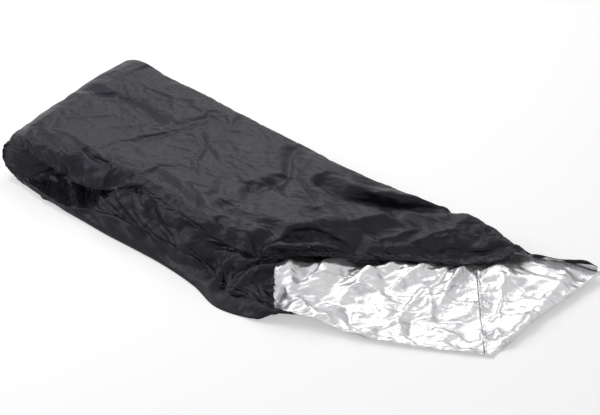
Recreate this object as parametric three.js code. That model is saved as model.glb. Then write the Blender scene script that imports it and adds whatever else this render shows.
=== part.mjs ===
// A lawn mower cover of thin coated cloth, empty and lying on its side on a floor.
//
// A long strip of cloth goes over the cover, round its closed end and back underneath.
// A side panel joins the two layers along each long edge. The mouth is cut on the slant,
// so the lower layer reaches further than the upper one, and its inner face shows there.
//
// The tables give places on a cover whose strip is 60 wide: x from the closed end towards
// the mouth, y from the far edge (0) towards the near edge (-60), z up from the floor.

import * as THREE from 'three';

// Driving sizes, in millimetres.
const STRIP_WIDTH = 624;
const CLOTH = 2;
const HEM = 3;

// How far sheets stop short of their seam lines, in millimetres: the strip at its long edges,
// two lengths of the strip end to end, and a side panel at the bend of the closed end. Along
// its other seams a side panel keeps CLEARANCE from the strip, up to LARGEST_GAP.
const SEAM_GAP = 1.5;
const END_GAP = 0.15;
const NOSE_GAP = 7;
const CLEARANCE = 1.2;
const LARGEST_GAP = 12;

const SCALE = STRIP_WIDTH / 60;

// How many points each span between two rows or rails gets.
const SPAN_STEPS = 3;
const NOSE_STEPS = 8;
const TOP_STEPS = [1, 4, 4, 2, 1];
const UNDER_STEPS = [2, 4, 4, 2];
const MOUTH_STEPS = [4, 4, 1];
const HEM_STEPS = 2;

// The point that becomes the part's origin, under the middle of its box.
const ORIGIN = { x: 884.9, y: -228.7 };

// Upper layer, one row for each section from the closed end to the mouth.
const TOP_SECTIONS = [
  { seam: [15.5, -59.5, 13.6], shoulder: [15.3, -57.2, 15.8], middle: [10.8, -29, 15.6],
    ridge: [8.8, -5, 14.4], edge: [8.4, 0.2, 13], farSeam: [8.6, 1.4, 10.2] },
  { seam: [23, -59, 12], shoulder: [23, -56.8, 16.2], middle: [21, -29, 14.6],
    ridge: [19, -5.3, 13.6], edge: [19, 0, 12.2], farSeam: [19, 1.4, 9.8] },
  { seam: [30, -58.5, 11], shoulder: [30, -55.5, 16.2], middle: [30, -29, 14.2],
    ridge: [30, -5.5, 13.6], edge: [30, 0, 12.6], farSeam: [30, 1.2, 9.6] },
  { seam: [38, -57.8, 9.6], shoulder: [38, -52, 15.8], middle: [40, -28, 14],
    ridge: [41, -5.6, 13.6], edge: [41, 0, 12.5], farSeam: [41, 1.2, 9.5] },
  { seam: [47, -54.5, 10], shoulder: [46.5, -49.8, 16], middle: [50, -27.5, 13.8],
    ridge: [52, -5.5, 13.4], edge: [52, 0, 12.2], farSeam: [52, 1.2, 9] },
  { seam: [56, -51, 14.3], shoulder: [56, -48.8, 16], middle: [60, -27, 13.6],
    ridge: [64, -5.4, 13.2], edge: [64, 0, 12.1], farSeam: [64, 1.2, 8.6] },
  { seam: [68, -50.7, 13.8], shoulder: [68, -48.4, 15.6], middle: [74, -27, 13.2],
    ridge: [80, -5.2, 13], edge: [80, 0, 12.1], farSeam: [80, 1.4, 8.2] },
  { seam: [80, -51.6, 12.8], shoulder: [80, -49, 14.8], middle: [88, -27, 12.8],
    ridge: [96, -4.8, 13], edge: [96, 0.3, 12.1], farSeam: [96, 2, 7.8] },
  { seam: [92, -51, 11.2], shoulder: [92, -48.2, 13.6], middle: [101, -25, 12.4],
    ridge: [110, -1.5, 11.4], edge: [110, 4, 10.2], farSeam: [110, 5.6, 7] },
  { seam: [101, -48.6, 9.8], shoulder: [101.5, -46, 11.6], middle: [117, -23, 10],
    ridge: [132, 3, 8.8], edge: [135, 9.2, 8.6], farSeam: [135.4, 10.6, 5.8] },
  { seam: [105.5, -44.4, 8], shoulder: [107.4, -42, 8.8], middle: [128, -21.5, 6.4],
    ridge: [150, -1, 4.8], edge: [155.4, 7.6, 7], farSeam: [157, 9.4, 5.8] },
];

// Lower layer as far as the near side panel reaches, then its tongue, which goes on to the
// double-stitched seam.
const UNDER_SECTIONS = [
  { seam: [15.5, -62, 3.4], foot: [16, -61, 0.5], middle: [13, -30, 0],
    farFoot: [10, -1, 0], farSeam: [9, 1, 2] },
  { seam: [22, -62.6, 2.8], foot: [22.5, -61.2, 0.1], middle: [21, -30, 0],
    farFoot: [19, -1, 0], farSeam: [19, 1.2, 2] },
  { seam: [29, -62.8, 2.2], foot: [29.5, -61.2, 0], middle: [30, -30, 0],
    farFoot: [30, -1, 0], farSeam: [30, 1.2, 2] },
  { seam: [36, -62.6, 2.6], foot: [36, -61.6, 0], middle: [38, -30, 0],
    farFoot: [41, -1, 0], farSeam: [41, 1.2, 2] },
  { seam: [44, -61, 4.8], foot: [44, -61.6, 0], middle: [48, -30, 0],
    farFoot: [52, -1, 0], farSeam: [52, 1.2, 2] },
  { seam: [53.5, -59, 6.6], foot: [53, -61.6, 0], middle: [58, -30, 0],
    farFoot: [64, -1, 0], farSeam: [64, 1.2, 2] },
  { seam: [64, -58.4, 6.8], foot: [64, -61, 0], middle: [72, -30, 0],
    farFoot: [80, -0.6, 0], farSeam: [80, 1.4, 2] },
  { seam: [75, -57.2, 6.2], foot: [76, -60.6, 0], middle: [86, -28, 0],
    farFoot: [96, 0, 0], farSeam: [96, 2, 2] },
  { seam: [88, -56.2, 5], foot: [90, -61.6, 0], middle: [99, -27, 0],
    farFoot: [110, 3, 0], farSeam: [110, 5.4, 2] },
  { seam: [101, -58.6, 3.2], foot: [102, -64.2, 0], middle: [110, -25, 0],
    farFoot: [122, 5.4, 0], farSeam: [122.4, 7.6, 2] },
  { seam: [116.4, -56, 0.9], foot: [115.4, -59.5, 0], middle: [120, -24, 0],
    farFoot: [128, 6.2, 0], farSeam: [128, 8.4, 2] },
];
const UNDER_TONGUE = [
  { seam: [128, -51.6, 0.5], foot: [127, -49.6, 0.4], middle: [130, -22, 0.2],
    farFoot: [131, 6.5, 0], farSeam: [131, 8.7, 1.9] },
  { seam: [140, -48.2, 0.7], foot: [139, -46, 0.6], middle: [140, -20, 0.3],
    farFoot: [133, 6.7, 0], farSeam: [133, 8.9, 1.8] },
  { seam: [155.5, -40, 0.2], foot: [154, -38, 0.3], middle: [149, -16, 0.3],
    farFoot: [135.6, 6.9, 0], farSeam: [135, 9, 1.7] },
  { seam: [171, -30.4, 0], foot: [169.5, -28.4, 0.1], middle: [154.5, -11.5, 0.3],
    farFoot: [138.6, 6.8, 0.2], farSeam: [136.5, 9.2, 1.6] },
];

// The piece beyond the double-stitched seam, one row for each rail of the lower layer.
const MOUTH_SECTIONS = [
  { middle: [171.4, -30.1, 0.1], crest: [171.8, -29.8, 0.2], hem: [172.8, -29.4, 0] },
  { middle: [170.6, -28.4, 0.2], crest: [172, -27.8, 0.5], hem: [173, -27.4, 0] },
  { middle: [163, -10.4, 0.2], crest: [171.4, -10, 1.3], hem: [172.6, -9.8, 0] },
  { middle: [155, 8, 0.4], crest: [169.4, 12, 2.4], hem: [174, 12.6, 0.2] },
  { middle: [154.6, 10.8, 1.4], crest: [168.6, 17.8, 2.2], hem: [174.4, 20.4, 0.8] },
];

// How far the bend of the closed end reaches past the first sections, and how much of a
// section the side panel follows it.
const NOSE_REACH = { near: 9.5, far: 13 };
const NOSE_FOLLOW = 0.8;

// The free hem of the far side panel, from the corner of the upper layer to the tip.
const FAR_HEM = [
  [157, 9.4, 5.8], [160.3, 11.4, 5.6], [163.9, 13.4, 5.2], [167.4, 16, 5],
  [170.5, 18, 5.2], [173.6, 19.8, 3.6],
];

// How far the side panels are sunk between the layers: the near one by a value for each
// section, the far one evenly where it stands at its full height.
const NEAR_RECESS = [0, 9.5, 12, 11, 8.5, 4.5, 2, 1, 0, -0.5, 0];
const RECESS_FULLNESS = 0.8;
const FAR_RECESS = 2.5;
const FAR_HEIGHT = 8;

// Upright folds of the near side panel by the mouth: place in sections, depth and width.
const NEAR_PLEATS = [
  { at: 7.4, depth: 1.2, width: 0.3 },
  { at: 8.3, depth: -1.6, width: 0.3 },
  { at: 9.0, depth: 1.8, width: 0.28 },
  { at: 9.5, depth: -1.2, width: 0.22 },
];

// The main folds: the path of each in plan, how deep the trough is (a ridge is below zero)
// and its half width.
const TOP_FOLDS = [
  { path: [[95, -11], [103, -10], [111, -6], [122, 2], [129, 9]], depth: 2, width: 2.6 },
  { path: [[101, -46], [104, -38], [110, -29], [119, -24]], depth: 2.2, width: 3 },
  { path: [[104, -30], [114, -16], [122, -8]], depth: -1, width: 3 },
  { path: [[136, -8], [143, -3], [148, 3]], depth: 1.2, width: 2.4 },
  { path: [[83, -41], [91, -41], [99, -38]], depth: 0.8, width: 2.4 },
  { path: [[57, -44], [67, -46], [77, -48]], depth: 0.7, width: 2.2 },
  { path: [[40, -31], [42, -24], [46, -10], [53, -6]], depth: 0.8, width: 3 },
  { path: [[10, -25], [24, -20], [36, -22]], depth: 0.7, width: 2.6 },
  { path: [[82, -28], [86, -15], [77, -5]], depth: 0.8, width: 2.4 },
];
const UNDER_FOLDS = [
  { path: [[120, -50], [129, -47], [140, -45]], depth: -1.1, width: 2.8 },
  { path: [[128, -28], [137, -33], [145, -36]], depth: -0.7, width: 2.4 },
  { path: [[139, -6], [146, -17], [148, -28]], depth: -0.8, width: 2.4 },
  { path: [[157, 8], [160, -4], [161, -12]], depth: -0.9, width: 2.4 },
];

const vector = ([x, y, z]) => new THREE.Vector3(x, y, z).multiplyScalar(SCALE);
const mix = (a, b, t) => a.clone().lerp(b, t);

// Points on a smooth line through the given ones; steps says how many each span gets.
function smoothLine(points, steps) {
  const curve = new THREE.CatmullRomCurve3(points, false, 'centripetal');
  const spans = points.length - 1;
  const line = [points[0].clone()];
  for (let span = 0; span < spans; span += 1) {
    const count = Array.isArray(steps) ? steps[span] : steps;
    for (let step = 1; step <= count; step += 1) {
      line.push(curve.getPoint((span + step / count) / spans));
    }
  }
  return line;
}

// A surface through the rails named by a table's columns: grid[row][column] of points.
function loft(rows, rowSteps, railSteps) {
  const names = Object.keys(rows[0]);
  const rails = names.map((name) => smoothLine(rows.map((row) => vector(row[name])), rowSteps));
  return rails[0].map((_, row) => smoothLine(rails.map((rail) => rail[row]), railSteps));
}

// Cloth that would dip below the floor lies on it.
function restOnFloor(grid) {
  for (const point of grid.flat()) point.z = Math.max(point.z, 0);
  return grid;
}

// How far a place in plan lies from a path.
function distanceToPath(x, y, path) {
  let nearest = Infinity;
  for (let leg = 1; leg < path.length; leg += 1) {
    const [[ax, ay], [bx, by]] = [path[leg - 1], path[leg]];
    const share = ((x - ax) * (bx - ax) + (y - ay) * (by - ay)) / ((bx - ax) ** 2 + (by - ay) ** 2);
    const along = THREE.MathUtils.clamp(share, 0, 1);
    nearest = Math.min(nearest, Math.hypot(x - ax - along * (bx - ax), y - ay - along * (by - ay)));
  }
  return nearest;
}

// Lowers the cloth of a grid into its troughs and lifts it over its ridges.
function fold(grid, folds) {
  for (const point of grid.flat()) {
    for (const { path, depth, width } of folds) {
      const away = distanceToPath(point.x / SCALE, point.y / SCALE, path);
      point.z -= depth * SCALE * Math.exp(-((away / width) ** 2));
    }
  }
  return grid;
}

// The bend of the closed end, from the first row of one layer to the first of the other.
function noseBend(upper, lower) {
  const rows = [];
  for (let step = 1; step < NOSE_STEPS; step += 1) {
    const angle = (Math.PI * step) / NOSE_STEPS;
    rows.push(upper.map((top, column) => {
      const share = column / (upper.length - 1);
      const bulge = THREE.MathUtils.lerp(NOSE_REACH.near, NOSE_REACH.far, share) * SCALE;
      const point = mix(top, lower[column], (1 - Math.cos(angle)) / 2);
      point.x -= bulge * Math.sin(angle);
      return point;
    }));
  }
  return rows;
}

const columnOf = (grid, column) => grid.map((row) => row.at(column));

// How far a sheet stops short of a seam line. A panel that meets the strip at a sharp
// angle stops further back, so that the two stay just clear of each other.
function seamGap(edge, inner, neighbour, seamDirection) {
  const inward = inner.clone().sub(edge);
  const square = inward.clone().projectOnPlane(seamDirection);
  const beside = neighbour.clone().sub(edge).projectOnPlane(seamDirection);
  const angle = square.angleTo(beside);
  const slant = inward.length() / square.length();
  if (angle > Math.PI / 2) return CLEARANCE * slant;
  const gap = (CLOTH / 2 + CLEARANCE + (CLOTH / 2) * Math.cos(angle)) / Math.sin(angle);
  return Math.min(gap * slant, LARGEST_GAP);
}

// The four edges of a grid, each as pairs of places: on the edge, and one step inside it.
function edgePlaces(grid, edge) {
  const [rows, columns] = [grid.length, grid[0].length];
  if (edge === 'first') return grid[0].map((_, j) => [[0, j], [1, j]]);
  if (edge === 'last') return grid[0].map((_, j) => [[rows - 1, j], [rows - 2, j]]);
  if (edge === 'left') return grid.map((_, i) => [[i, 0], [i, 1]]);
  return grid.map((_, i) => [[i, columns - 1], [i, columns - 2]]);
}

// A copy of a grid whose sewn edges stop short of their seam lines. seams gives, for each
// such edge, either the gap or the points of the neighbouring sheet beside it, which end
// where the edge goes on as a free hem.
function trimmed(grid, seams) {
  const points = grid.map((row) => row.map((point) => point.clone()));
  for (const [edge, neighbours] of Object.entries(seams)) {
    const places = edgePlaces(grid, edge);
    const line = places.map(([[i, j]]) => grid[i][j]);
    places.forEach(([[i, j], [k, l]], index) => {
      const before = line[Math.max(index - 1, 0)];
      const after = line[Math.min(index + 1, line.length - 1)];
      const seamDirection = after.clone().sub(before).normalize();
      let gap = neighbours;
      if (Array.isArray(neighbours)) {
        if (!neighbours[index]) return;
        gap = seamGap(grid[i][j], grid[k][l], neighbours[index], seamDirection);
      }
      points[i][j].add(grid[k][l].clone().sub(grid[i][j]).setLength(gap));
    });
  }
  return points;
}

// The direction square to a grid of points at one of them.
function normalAt(points, i, j) {
  const at = (row, column) => points[THREE.MathUtils.clamp(row, 0, points.length - 1)][
    THREE.MathUtils.clamp(column, 0, points[0].length - 1)];
  const alongRows = at(i + 1, j).clone().sub(at(i - 1, j));
  const alongColumns = at(i, j + 1).clone().sub(at(i, j - 1));
  return alongRows.cross(alongColumns).normalize();
}

// A closed sheet of cloth: the grid's upper face, its lower face, and a rim round them.
function clothSheet(points, thickness) {
  const rows = points.length;
  const columns = points[0].length;
  const positions = [];
  for (const side of [1, -1]) {
    points.forEach((row, i) => row.forEach((point, j) => {
      const offset = (side * thickness(i)) / 2;
      positions.push(...point.clone().addScaledVector(normalAt(points, i, j), offset));
    }));
  }

  const index = [];
  const face = (a, b, c, d) => index.push(a, b, c, a, c, d);
  const id = (side, i, j) => (side * rows + i) * columns + j;
  for (let i = 0; i + 1 < rows; i += 1) {
    for (let j = 0; j + 1 < columns; j += 1) {
      face(id(0, i, j), id(0, i + 1, j), id(0, i + 1, j + 1), id(0, i, j + 1));
      face(id(1, i, j), id(1, i, j + 1), id(1, i + 1, j + 1), id(1, i + 1, j));
    }
    const last = columns - 1;
    face(id(0, i, 0), id(1, i, 0), id(1, i + 1, 0), id(0, i + 1, 0));
    face(id(0, i, last), id(0, i + 1, last), id(1, i + 1, last), id(1, i, last));
  }
  for (let j = 0; j + 1 < columns; j += 1) {
    const last = rows - 1;
    face(id(0, 0, j), id(0, 0, j + 1), id(1, 0, j + 1), id(1, 0, j));
    face(id(0, last, j), id(1, last, j), id(1, last, j + 1), id(0, last, j + 1));
  }

  const geometry = new THREE.BufferGeometry();
  geometry.setAttribute('position', new THREE.Float32BufferAttribute(positions, 3));
  geometry.setIndex(index);
  geometry.computeVertexNormals();
  return geometry;
}

// The point of a line of points that lies at a given x.
function pointAtX(line, x) {
  const next = line.findIndex((point) => point.x >= x);
  if (next < 0) return line.at(-1).clone();
  if (next === 0) return line[0].clone();
  const [a, b] = [line[next - 1], line[next]];
  return mix(a, b, (x - a.x) / (b.x - a.x));
}

// The value of a table of numbers, one for each section, at a place between sections.
function valueAt(values, place) {
  const index = Math.min(Math.floor(place), values.length - 2);
  return THREE.MathUtils.lerp(values[index], values[index + 1], place - index);
}

// The two layers and the bend that joins them.
const topLayer = fold(loft(TOP_SECTIONS, SPAN_STEPS, TOP_STEPS), TOP_FOLDS);
const underLayer = restOnFloor(
  fold(loft([...UNDER_SECTIONS, ...UNDER_TONGUE], SPAN_STEPS, UNDER_STEPS), UNDER_FOLDS),
);
const bend = noseBend(topLayer[0], underLayer[0]);

// The mouth piece: each row starts at a point of the double-stitched seam.
function mouthGrid() {
  const rails = Object.keys(MOUTH_SECTIONS[0]).map((name) => smoothLine(
    MOUTH_SECTIONS.map((row) => vector(row[name])), UNDER_STEPS));
  return underLayer.at(-1).map((start, row) => smoothLine(
    [start, ...rails.map((rail) => rail[row])], MOUTH_STEPS));
}
const mouthPiece = restOnFloor(mouthGrid());

// The near side panel: its first column follows the bend, the others run from the upper
// seam to the lower one, sunk between the layers.
function nearPanelGrid() {
  const lower = columnOf(underLayer, 0);
  const columns = columnOf(topLayer, 0).map((top, station) => {
    const place = station / SPAN_STEPS;
    const pleats = NEAR_PLEATS.reduce((sum, { at, depth, width }) => (
      sum + depth * Math.exp(-(((place - at) / width) ** 2))), 0);
    const recess = valueAt(NEAR_RECESS, place);
    const reach = NOSE_REACH.near * Math.max(0, NOSE_FOLLOW - place) ** 2;
    return Array.from({ length: NOSE_STEPS + 1 }, (_, step) => {
      const angle = (Math.PI * step) / NOSE_STEPS;
      const swell = Math.sin(angle);
      const point = mix(top, lower[station], (1 - Math.cos(angle)) / 2);
      point.x -= reach * swell * SCALE;
      point.y += (recess * swell ** RECESS_FULLNESS - pleats * swell) * SCALE;
      return point;
    });
  });
  columns[0] = columnOf([topLayer[0], ...bend, underLayer[0]], 0);
  return columns;
}

// The far side panel: its first column follows the bend, and its last ones stand up as the
// free hem along the far side of the mouth.
function farPanelGrid() {
  const hem = smoothLine(FAR_HEM.map(vector), HEM_STEPS);
  const lower = [...columnOf(underLayer, -1), ...mouthPiece.at(-1).slice(1)];
  const columns = [...columnOf(topLayer, -1), ...hem.slice(1)].map((top) => {
    const foot = pointAtX(lower, top.x);
    const height = (top.z - foot.z) / SCALE;
    const recess = FAR_RECESS * Math.min(1, (height / FAR_HEIGHT) ** 2);
    return Array.from({ length: NOSE_STEPS + 1 }, (_, step) => {
      const point = mix(top, foot, step / NOSE_STEPS);
      point.y -= recess * SCALE * Math.sin((Math.PI * step) / NOSE_STEPS);
      return point;
    });
  });
  columns[0] = columnOf([topLayer[0], ...bend, underLayer[0]], -1);
  return columns;
}

const BLACK = { color: 0x4b4a50, roughness: 0.55, metalness: 0 };
const SILVER = { color: 0xd6d6da, roughness: 0.35, metalness: 0.6 };

// One named sheet on a grid, with its sewn edges trimmed. Its last row may be a hem.
function piece(name, grid, finish, seams, hemmed = false) {
  const last = grid.length - 1;
  const thickness = (row) => (hemmed && row === last ? HEM : CLOTH);
  const material = new THREE.MeshStandardMaterial(finish);
  const mesh = new THREE.Mesh(clothSheet(trimmed(grid, seams), thickness), material);
  mesh.name = name;
  return mesh;
}

const farGrid = farPanelGrid();
const farFloor = [...columnOf(underLayer, -2), ...mouthPiece.at(-2).slice(1)];

const cover = new THREE.Group();
cover.add(
  piece('top_strip', [underLayer[0], ...bend.toReversed(), ...topLayer], BLACK, {
    first: END_GAP, left: SEAM_GAP, right: SEAM_GAP,
  }, true),
  piece('under_strip', underLayer, SILVER, {
    first: END_GAP, last: END_GAP, left: SEAM_GAP, right: SEAM_GAP,
  }),
  piece('mouth_panel', mouthPiece, SILVER, { left: END_GAP, last: SEAM_GAP }),
  piece('near_side_panel', nearPanelGrid(), BLACK, {
    first: NOSE_GAP, left: columnOf(topLayer, 1), right: columnOf(underLayer, 1),
  }, true),
  piece('far_side_panel', farGrid, BLACK, {
    first: NOSE_GAP,
    left: columnOf(topLayer, -2),
    right: farGrid.map((column) => pointAtX(farFloor, column.at(-1).x)),
  }, true),
);
cover.position.set(-ORIGIN.x, -ORIGIN.y, CLOTH / 2);

export default cover;
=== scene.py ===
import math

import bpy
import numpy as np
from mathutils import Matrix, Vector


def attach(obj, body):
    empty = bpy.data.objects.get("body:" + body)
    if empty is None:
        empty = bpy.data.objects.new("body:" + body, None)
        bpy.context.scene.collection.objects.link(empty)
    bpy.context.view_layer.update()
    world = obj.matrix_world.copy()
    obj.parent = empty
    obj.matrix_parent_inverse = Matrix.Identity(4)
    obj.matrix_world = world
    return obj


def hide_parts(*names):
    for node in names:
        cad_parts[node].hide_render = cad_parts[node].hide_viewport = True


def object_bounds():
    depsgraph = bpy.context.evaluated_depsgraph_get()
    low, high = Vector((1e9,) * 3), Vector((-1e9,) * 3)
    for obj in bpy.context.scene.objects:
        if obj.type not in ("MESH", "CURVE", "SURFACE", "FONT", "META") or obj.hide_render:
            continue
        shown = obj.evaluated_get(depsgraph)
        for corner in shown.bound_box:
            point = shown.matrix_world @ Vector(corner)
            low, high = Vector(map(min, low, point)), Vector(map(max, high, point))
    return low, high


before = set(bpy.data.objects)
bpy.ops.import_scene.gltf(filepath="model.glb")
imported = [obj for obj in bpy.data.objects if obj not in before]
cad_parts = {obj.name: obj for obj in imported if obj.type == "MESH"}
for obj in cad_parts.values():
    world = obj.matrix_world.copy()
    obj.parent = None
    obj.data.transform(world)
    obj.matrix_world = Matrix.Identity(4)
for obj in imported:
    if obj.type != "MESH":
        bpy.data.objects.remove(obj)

# The look of an empty lawn mower cover that lies flattened on a floor: black coated cloth
# outside, silver coating inside, gathered hems, a double-stitched seam and many creases.
#
# Places on the cover are given in cover units, of which its strip is 60 wide: x from the
# closed end towards the mouth, y from the far edge (0) to the near edge (-60), z upwards.

CAD_LOW, CAD_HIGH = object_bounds()

# ---- Sizes -------------------------------------------------------------------------------

LENGTH_UNITS = 178.66
UNIT = (CAD_HIGH.x - CAD_LOW.x) / LENGTH_UNITS
LOW_CORNER = np.array([-4.24, -64.25, 0.0])

# In metres: the cloth, its gap above the floor and the height below which the floor presses
# it flat, the half width of the thread, and the stitches with their two rows at the mouth.
CLOTH = 0.0007
FLOOR_GAP, FLOOR_SOFT = 0.0003, 0.003
THREAD = 0.0009
STITCH_STEP, STITCH_LENGTH = 0.0062, 0.0045
STITCH_ROWS = [0.002, 0.013]

# How finely each sheet is divided, in each span of its table. The first spans of the lower
# layer stay unseen.
TOP_ROWS = [20, 20, 20, 20, 20, 20, 20, 20, 26, 54]
TOP_COLUMNS = [12, 68, 56, 14, 8]
NOSE_ROWS = 36
UNDER_ROWS = [8, 8, 8, 8, 8, 8, 8, 10, 20, 30, 26, 26, 34, 34]
UNDER_COLUMNS = [14, 70, 60, 8]
UNSEEN_SPANS = 8
MOUTH_COLUMNS = [56, 12, 6]
NEAR_ROWS = [24, 24, 24, 24, 24, 24, 24, 24, 30, 30]
NEAR_COLUMNS = 64
FAR_COLUMNS = 28
HEM_ROLL_COLUMNS = 10


def place(points):
    """Points in cover units as points of the frame, in metres."""
    low = np.array(CAD_LOW) + np.array([0, 0, CLOTH / 2])
    return low + (np.asarray(points, float) - LOW_CORNER) * UNIT


def along_cover(grid):
    """How far along the cover the points of a grid in metres lie, in cover units."""
    return (grid[..., 0] - CAD_LOW.x) / UNIT + LOW_CORNER[0]


def above(values, limit, soft):
    """0 well below a limit and 1 well above it, changing over a soft distance."""
    return 0.5 + 0.5 * np.tanh((values - limit) / soft / 2)


def below(values, limit, soft):
    """1 well below a limit and 0 well above it, changing over a soft distance."""
    return 0.5 - 0.5 * np.tanh((values - limit) / soft / 2)


def window(values, start, end, soft):
    """1 between start and end, falling to 0 outside over a soft distance."""
    return above(values, start, soft) * below(values, end, soft)


def bell(values, width):
    """A soft bump: 1 at zero, and 0.37 at the width on either side."""
    return np.exp(-((values / width) ** 2))


# ---- The form of the cover, section by section -------------------------------------------

# Upper layer: seam, shoulder, middle, ridge, edge and far seam of each section.
TOP_SECTIONS = [
    [(15.5, -59.5, 13.6), (15.3, -57.2, 15.8), (10.8, -29, 15.6),
     (8.8, -5, 14.4), (8.4, 0.2, 13), (8.6, 1.4, 10.2)],
    [(23, -59, 12), (23, -56.8, 16.2), (21, -29, 14.6),
     (19, -5.3, 13.6), (19, 0, 12.2), (19, 1.4, 9.8)],
    [(30, -58.5, 11), (30, -55.5, 16.2), (30, -29, 14.2),
     (30, -5.5, 13.6), (30, 0, 12.6), (30, 1.2, 9.6)],
    [(38, -57.8, 9.6), (38, -52, 15.8), (40, -28, 14),
     (41, -5.6, 13.6), (41, 0, 12.5), (41, 1.2, 9.5)],
    [(47, -54.5, 10), (46.5, -49.8, 16), (50, -27.5, 13.8),
     (52, -5.5, 13.4), (52, 0, 12.2), (52, 1.2, 9)],
    [(56, -51, 14.3), (56, -48.8, 16), (60, -27, 13.6),
     (64, -5.4, 13.2), (64, 0, 12.1), (64, 1.2, 8.6)],
    [(68, -50.7, 13.8), (68, -48.4, 15.6), (74, -27, 13.2),
     (80, -5.2, 13), (80, 0, 12.1), (80, 1.4, 8.2)],
    [(80, -51.6, 12.8), (80, -49, 14.8), (88, -27, 12.8),
     (96, -4.8, 13), (96, 0.3, 12.1), (96, 2, 7.8)],
    [(92, -51, 11.2), (92, -48.2, 13.6), (101, -25, 12.4),
     (110, -1.5, 11.4), (110, 4, 10.2), (110, 5.6, 7)],
    [(101, -48.6, 9.8), (101.5, -46, 11.6), (117, -23, 10),
     (132, 3, 8.8), (135, 9.2, 8.6), (135.4, 10.6, 5.8)],
    [(105.5, -44.4, 8), (107.4, -42, 8.8), (128, -21.5, 6.4),
     (150, -1, 4.8), (155.4, 7.6, 7), (157, 9.4, 5.8)],
]

# Lower layer: seam, foot, middle, far foot and far seam of each section.
UNDER_SECTIONS = [
    [(15.5, -62, 3.4), (16, -61, 0.5), (13, -30, 0), (10, -1, 0), (9, 1, 2)],
    [(22, -62.6, 2.8), (22.5, -61.2, 0.1), (21, -30, 0), (19, -1, 0), (19, 1.2, 2)],
    [(29, -62.8, 2.2), (29.5, -61.2, 0), (30, -30, 0), (30, -1, 0), (30, 1.2, 2)],
    [(36, -62.6, 2.6), (36, -61.6, 0), (38, -30, 0), (41, -1, 0), (41, 1.2, 2)],
    [(44, -61, 4.8), (44, -61.6, 0), (48, -30, 0), (52, -1, 0), (52, 1.2, 2)],
    [(53.5, -59, 6.6), (53, -61.6, 0), (58, -30, 0), (64, -1, 0), (64, 1.2, 2)],
    [(64, -58.4, 6.8), (64, -61, 0), (72, -30, 0), (80, -0.6, 0), (80, 1.4, 2)],
    [(75, -57.2, 6.2), (76, -60.6, 0), (86, -28, 0), (96, 0, 0), (96, 2, 2)],
    [(88, -56.2, 5), (90, -61.6, 0), (99, -27, 0), (110, 3, 0), (110, 5.4, 2)],
    [(101, -58.6, 3.2), (102, -64.2, 0), (110, -25, 0), (122, 5.4, 0), (122.4, 7.6, 2)],
    [(116.4, -56, 0.9), (115.4, -59.5, 0), (120, -24, 0), (128, 6.2, 0), (128, 8.4, 2)],
    [(128, -51.6, 0.5), (127, -49.6, 0.4), (130, -22, 0.2), (131, 6.5, 0), (131, 8.7, 1.9)],
    [(140, -48.2, 0.7), (139, -46, 0.6), (140, -20, 0.3), (133, 6.7, 0), (133, 8.9, 1.8)],
    [(155.5, -40, 0.2), (154, -38, 0.3), (149, -16, 0.3), (135.6, 6.9, 0), (135, 9, 1.7)],
    [(171, -30.4, 0), (169.5, -28.4, 0.1), (154.5, -11.5, 0.3), (138.6, 6.8, 0.2), (136.5, 9.2, 1.6)],
]

# Beyond the double-stitched seam: middle, crest and hem, one row for each rail above.
MOUTH_SECTIONS = [
    [(171.4, -30.1, 0.1), (171.8, -29.8, 0.2), (172.8, -29.4, 0)],
    [(170.6, -28.4, 0.2), (172, -27.8, 0.5), (173, -27.4, 0)],
    [(163, -10.4, 0.2), (171.4, -10, 1.3), (172.6, -9.8, 0)],
    [(155, 8, 0.4), (169.4, 12, 2.4), (174, 12.6, 0.2)],
    [(154.6, 10.8, 1.4), (168.6, 17.8, 2.2), (174.4, 20.4, 0.8)],
]

# The free hem of the far side panel, from the corner of the upper layer to the tip.
FAR_HEM = [
    (157, 9.4, 5.8), (160.3, 11.4, 5.6), (163.9, 13.4, 5.2),
    (167.4, 16, 5), (170.5, 18, 5.2), (173.6, 19.8, 3.6),
]

NOSE_REACH_NEAR, NOSE_REACH_FAR = 9.5, 13
NOSE_FOLLOW = 0.8
NEAR_RECESS = [0, 9, 11, 9, 4, 1.4, 0.6, 0.6, 0, -0.5, 0]
RECESS_FULLNESS = 0.8
FAR_RECESS, FAR_HEIGHT = 2.5, 8

# Upright folds of the near side panel by the mouth: place in sections, depth, width.
NEAR_PLEATS = [(7.4, 1.2, 0.3), (8.3, -1.6, 0.3), (9.0, 1.8, 0.28), (9.5, -1.2, 0.22)]

# The main folds, which the solids have too: path in plan, depth, half width.
TOP_FOLDS = [
    ([(95, -11), (103, -10), (111, -6), (122, 2), (129, 9)], 2, 2.6),
    ([(101, -46), (104, -38), (110, -29), (119, -24)], 2.2, 3),
    ([(104, -30), (114, -16), (122, -8)], -1, 3),
    ([(136, -8), (143, -3), (148, 3)], 1.2, 2.4),
    ([(83, -41), (91, -41), (99, -38)], 0.8, 2.4),
    ([(57, -44), (67, -46), (77, -48)], 0.7, 2.2),
    ([(40, -31), (42, -24), (46, -10), (53, -6)], 0.8, 3),
    ([(10, -25), (24, -20), (36, -22)], 0.7, 2.6),
    ([(82, -28), (86, -15), (77, -5)], 0.8, 2.4),
]
UNDER_FOLDS = [
    ([(120, -50), (129, -47), (140, -45)], -1.1, 2.8),
    ([(128, -28), (137, -33), (145, -36)], -0.7, 2.4),
    ([(139, -6), (146, -17), (148, -28)], -0.8, 2.4),
    ([(157, 8), (160, -4), (161, -12)], -0.9, 2.4),
]


def spans(steps):
    """Places along a line with the given number of steps in each span."""
    parts = [np.linspace(i, i + 1, count + 1)[1:] for i, count in enumerate(steps)]
    return np.concatenate([[0.0], *parts])


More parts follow.
